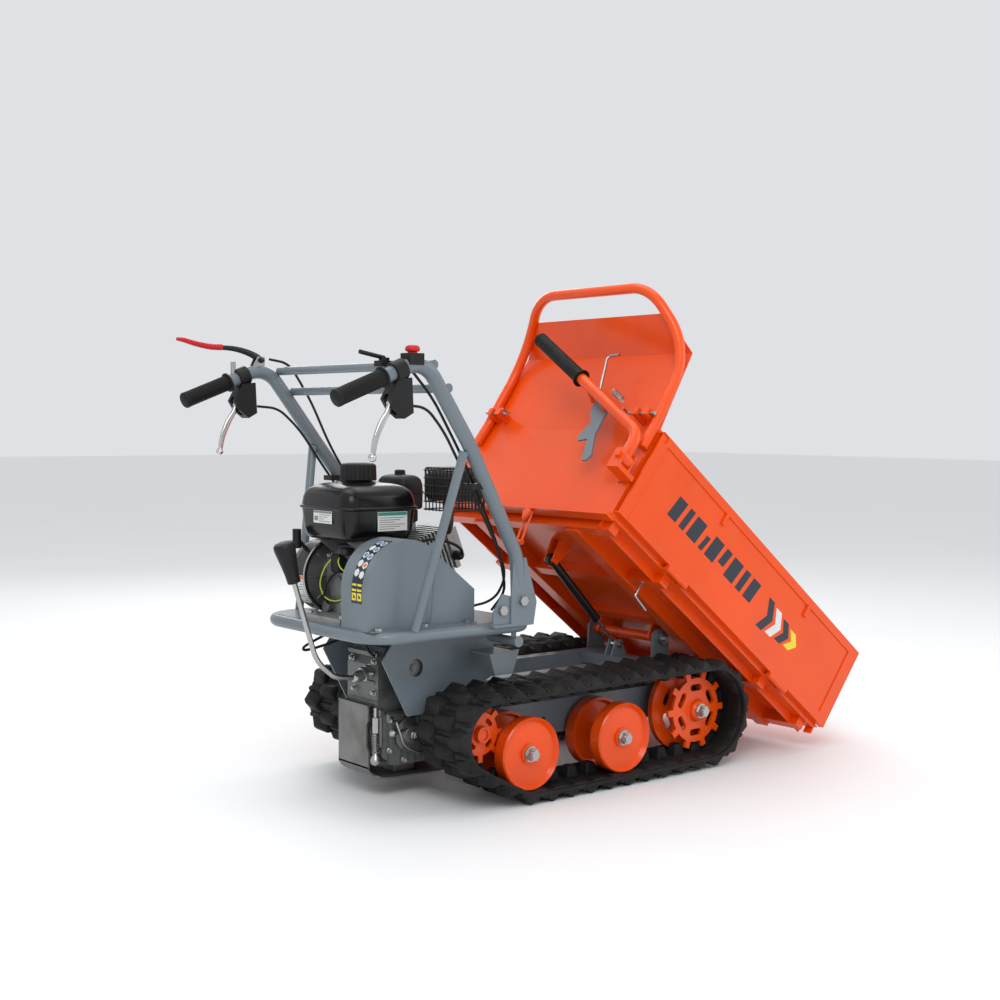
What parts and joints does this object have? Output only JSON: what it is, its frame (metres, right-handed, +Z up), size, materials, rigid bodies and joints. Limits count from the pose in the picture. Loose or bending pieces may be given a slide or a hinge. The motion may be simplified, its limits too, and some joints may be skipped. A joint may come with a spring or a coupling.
{
  "type": "power wheelbarrow",
  "caption": "Walk-behind tracked mini dumper with a petrol engine on its deck, handlebars with steering levers and a drop-side bed tipped forward on its pivot.",
  "frame": {"origin": "on the ground under the middle of the machine, bed tipped", "axes": "+X forward (the way the bed tips), +Y left, +Z up"},
  "size_m": [1.675, 0.69, 1.1947],
  "materials": {
    "orange_paint": "gloss orange powder coat",
    "grey_paint": "satin blue-grey paint",
    "black_paint": "semi-gloss black paint",
    "track_rubber": "matt moulded rubber, dusty",
    "grip_rubber": "matt soft rubber",
    "chrome_steel": "bright chrome plate",
    "zinc_steel": "bright zinc plate",
    "bare_steel": "rolled steel",
    "cast_metal": "as cast, lightly machined",
    "cast_aluminium": "as cast",
    "black_plastic": "matt moulded",
    "gloss_black": "gloss black enamel",
    "red_plastic": "gloss red moulding",
    "cable_jacket": "satin cable jacket",
    "muffler_steel": "heat-darkened steel",
    "belt_rubber": "matt rubber"
  },
  "bodies": {
    "chassis": {"chassis_frame": "grey_paint", "engine_deck": "grey_paint", "track_frames": "grey_paint", "wheel_axles": "zinc_steel", "gearbox": "cast_metal", "gearbox_guard": "bare_steel", "handlebars": "grey_paint", "handlebar_brackets": "grey_paint", "grips": "grip_rubber", "lever_perches": "black_plastic", "drive_lever_mount": "zinc_steel", "switch_housing": "black_plastic", "control_cables": "cable_jacket", "belt_cover": "grey_paint", "drive_belt": "belt_rubber", "engine_block": "cast_aluminium", "engine_cylinder": "cast_aluminium", "fuel_tank": "gloss_black", "air_filter": "black_plastic", "muffler": "muffler_steel", "muffler_guard": "black_paint", "recoil_starter": "black_paint", "frame_bolts": "zinc_steel", "track_left": "track_rubber", "track_right": "track_rubber"},
    "bed": {"bed_tray": "orange_paint", "bed_frame": "orange_paint", "bed_guard_tube": "orange_paint", "bed_brackets": "orange_paint", "lock_screws": "zinc_steel"},
    "front_gate": {"front_panel": "orange_paint"},
    "dump_lever": {"dump_handle": "orange_paint", "dump_grip": "grip_rubber", "bed_hook": "grey_paint"},
    "strut_lower": {"strut_rod": "chrome_steel"},
    "strut_upper": {"strut_cylinder": "black_paint"},
    "drive_control": {"drive_lever": "black_paint", "drive_lever_sleeve": "red_plastic"},
    "shift_lever": {"shift_rod": "zinc_steel", "shift_knob": "black_plastic"},
    "crank": {"engine_pulley": "bare_steel"},
    "gearbox_input": {"gearbox_pulley": "bare_steel"},
    "stop_switch": {"stop_button": "red_plastic"},
    "throttle": {"throttle_lever": "black_plastic"},
    "filler_cap": {"fuel_cap": "black_plastic"},
    "starter_pull": {"recoil_handle": "black_plastic"},
    "side_gate_left": {"side_panel_left": "orange_paint"},
    "gate_latch_left": {"latch_left": "zinc_steel"},
    "steering_left": {"steer_lever_left": "chrome_steel"},
    "sprocket_wheel_left": {"sprocket_left": "orange_paint"},
    "idler_wheel_left": {"idler_left": "orange_paint"},
    "rollers_rear_wheel_left": {"rollers_rear_left": "orange_paint"},
    "rollers_front_wheel_left": {"rollers_front_left": "orange_paint"},
    "side_gate_right": {"side_panel_right": "orange_paint"},
    "gate_latch_right": {"latch_right": "zinc_steel"},
    "steering_right": {"steer_lever_right": "chrome_steel"},
    "sprocket_wheel_right": {"sprocket_right": "orange_paint"},
    "idler_wheel_right": {"idler_right": "orange_paint"},
    "rollers_rear_wheel_right": {"rollers_rear_right": "orange_paint"},
    "rollers_front_wheel_right": {"rollers_front_right": "orange_paint"}
  },
  "joints": [
    {"name": "bed_tilt", "type": "hinge", "parent": "chassis", "child": "bed", "pos_m": [0.29689, 0, 0.29996], "axis": [0, 1, 0], "range_deg": [-35, 0]},
    {"name": "side_gate_left_fold", "type": "hinge", "parent": "bed", "child": "side_gate_left", "pos_m": [-0.0653, 0.337, 0.64152], "axis": [0.7837, 0, -0.6211], "range_deg": [-90, 0]},
    {"name": "side_gate_right_fold", "type": "hinge", "parent": "bed", "child": "side_gate_right", "pos_m": [-0.0653, -0.337, 0.64152], "axis": [0.7837, 0, -0.6211], "range_deg": [0, 90]},
    {"name": "front_gate_swing", "type": "hinge", "parent": "bed", "child": "front_gate", "pos_m": [0.82493, 0, 0.23528], "axis": [0, 1, 0], "range_deg": [-70, 0]},
    {"name": "gate_latch_left_slide", "type": "slide", "parent": "bed", "child": "gate_latch_left", "axis": [0, 1, 0], "range_m": [0, 0.012]},
    {"name": "gate_latch_right_slide", "type": "slide", "parent": "bed", "child": "gate_latch_right", "axis": [0, -1, 0], "range_m": [0, 0.012]},
    {"name": "dump_lever_swing", "type": "hinge", "parent": "bed", "child": "dump_lever", "pos_m": [-0.02494, -0.316, 0.76648], "axis": [0.7837, 0, -0.6211], "range_deg": [-12, 2], "stiffness_Nm_per_rad": 80},
    {"name": "strut_swing", "type": "hinge", "parent": "chassis", "child": "strut_lower", "pos_m": [0.23983, -0.015, 0.278], "axis": [0, 1, 0], "range_deg": [-46, 0.5]},
    {"name": "strut_stroke", "type": "slide", "parent": "strut_lower", "child": "strut_upper", "axis": [-0.6913, 0, 0.7226], "range_m": [-0.034, 0.001]},
    {"name": "steering_left_pull", "type": "hinge", "parent": "chassis", "child": "steering_left", "pos_m": [-0.67917, 0.318, 0.89], "axis": [0, 1, 0], "range_deg": [0, 20], "stiffness_Nm_per_rad": 6, "springref_deg": -8.59},
    {"name": "steering_right_pull", "type": "hinge", "parent": "chassis", "child": "steering_right", "pos_m": [-0.67917, -0.318, 0.89], "axis": [0, 1, 0], "range_deg": [0, 20], "stiffness_Nm_per_rad": 6, "springref_deg": -8.59},
    {"name": "drive_lever_press", "type": "hinge", "parent": "chassis", "child": "drive_control", "pos_m": [-0.61817, 0.321, 0.994], "axis": [0, 1, 0], "range_deg": [-10, 0], "stiffness_Nm_per_rad": 8, "springref_deg": 14.32},
    {"name": "stop_button_press", "type": "slide", "parent": "chassis", "child": "stop_switch", "axis": [0, 0, -1], "range_m": [0, 0.004], "stiffness_N_per_m": 1500},
    {"name": "throttle_swing", "type": "hinge", "parent": "chassis", "child": "throttle", "pos_m": [-0.67717, -0.289, 0.977], "axis": [0, 0, 1], "range_deg": [-25, 25]},
    {"name": "shift_lever_swing", "type": "hinge", "parent": "chassis", "child": "shift_lever", "pos_m": [-0.57317, -0.03, 0.275], "axis": [0, 1, 0], "range_deg": [-10, 6]},
    {"name": "filler_cap_turn", "type": "hinge", "parent": "chassis", "child": "filler_cap", "pos_m": [-0.52817, 0.03, 0.736], "axis": [0, 0, 1], "range_deg": [0, 90]},
    {"name": "starter_pull_out", "type": "slide", "parent": "chassis", "child": "starter_pull", "axis": [-0.7071, 0, 0.7071], "range_m": [0, 0.25], "stiffness_N_per_m": 60},
    {"name": "crank_spin", "type": "hinge", "parent": "chassis", "child": "crank", "pos_m": [-0.53517, 0, 0.511], "axis": [0, 1, 0], "continuous": true},
    {"name": "gearbox_input_spin", "type": "hinge", "parent": "chassis", "child": "gearbox_input", "pos_m": [-0.47317, 0, 0.3], "axis": [0, 1, 0], "continuous": true},
    {"name": "sprocket_left_spin", "type": "hinge", "parent": "chassis", "child": "sprocket_wheel_left", "pos_m": [-0.39517, 0.2336, 0.163], "axis": [0, 1, 0], "continuous": true},
    {"name": "idler_left_spin", "type": "hinge", "parent": "chassis", "child": "idler_wheel_left", "pos_m": [0.28883, 0.2336, 0.137], "axis": [0, 1, 0], "continuous": true},
    {"name": "rollers_rear_left_spin", "type": "hinge", "parent": "chassis", "child": "rollers_rear_wheel_left", "pos_m": [-0.27717, 0.2336, 0.1084], "axis": [0, 1, 0], "continuous": true},
    {"name": "rollers_front_left_spin", "type": "hinge", "parent": "chassis", "child": "rollers_front_wheel_left", "pos_m": [0.00983, 0.2336, 0.1084], "axis": [0, 1, 0], "continuous": true},
    {"name": "sprocket_right_spin", "type": "hinge", "parent": "chassis", "child": "sprocket_wheel_right", "pos_m": [-0.39517, -0.2336, 0.163], "axis": [0, 1, 0], "continuous": true},
    {"name": "idler_right_spin", "type": "hinge", "parent": "chassis", "child": "idler_wheel_right", "pos_m": [0.28883, -0.2336, 0.137], "axis": [0, 1, 0], "continuous": true},
    {"name": "rollers_rear_right_spin", "type": "hinge", "parent": "chassis", "child": "rollers_rear_wheel_right", "pos_m": [-0.27717, -0.2336, 0.1084], "axis": [0, 1, 0], "continuous": true},
    {"name": "rollers_front_right_spin", "type": "hinge", "parent": "chassis", "child": "rollers_front_wheel_right", "pos_m": [0.00983, -0.2336, 0.1084], "axis": [0, 1, 0], "continuous": true}
  ],
  "couplings": [
    {"joint": "gearbox_input_spin", "follows": "crank_spin", "ratio": 0.60854},
    {"joint": "strut_swing", "follows": "bed_tilt", "ratio": 1.1292},
    {"joint": "strut_stroke", "follows": "bed_tilt", "m_per_rad": 0.045633},
    {"joint": "idler_left_spin", "follows": "sprocket_left_spin", "ratio": 0.70093},
    {"joint": "rollers_rear_left_spin", "follows": "sprocket_left_spin", "ratio": 0.90361},
    {"joint": "rollers_front_left_spin", "follows": "sprocket_left_spin", "ratio": 0.90361},
    {"joint": "idler_right_spin", "follows": "sprocket_right_spin", "ratio": 0.70093},
    {"joint": "rollers_rear_right_spin", "follows": "sprocket_right_spin", "ratio": 0.90361},
    {"joint": "rollers_front_right_spin", "follows": "sprocket_right_spin", "ratio": 0.90361}
  ]
}
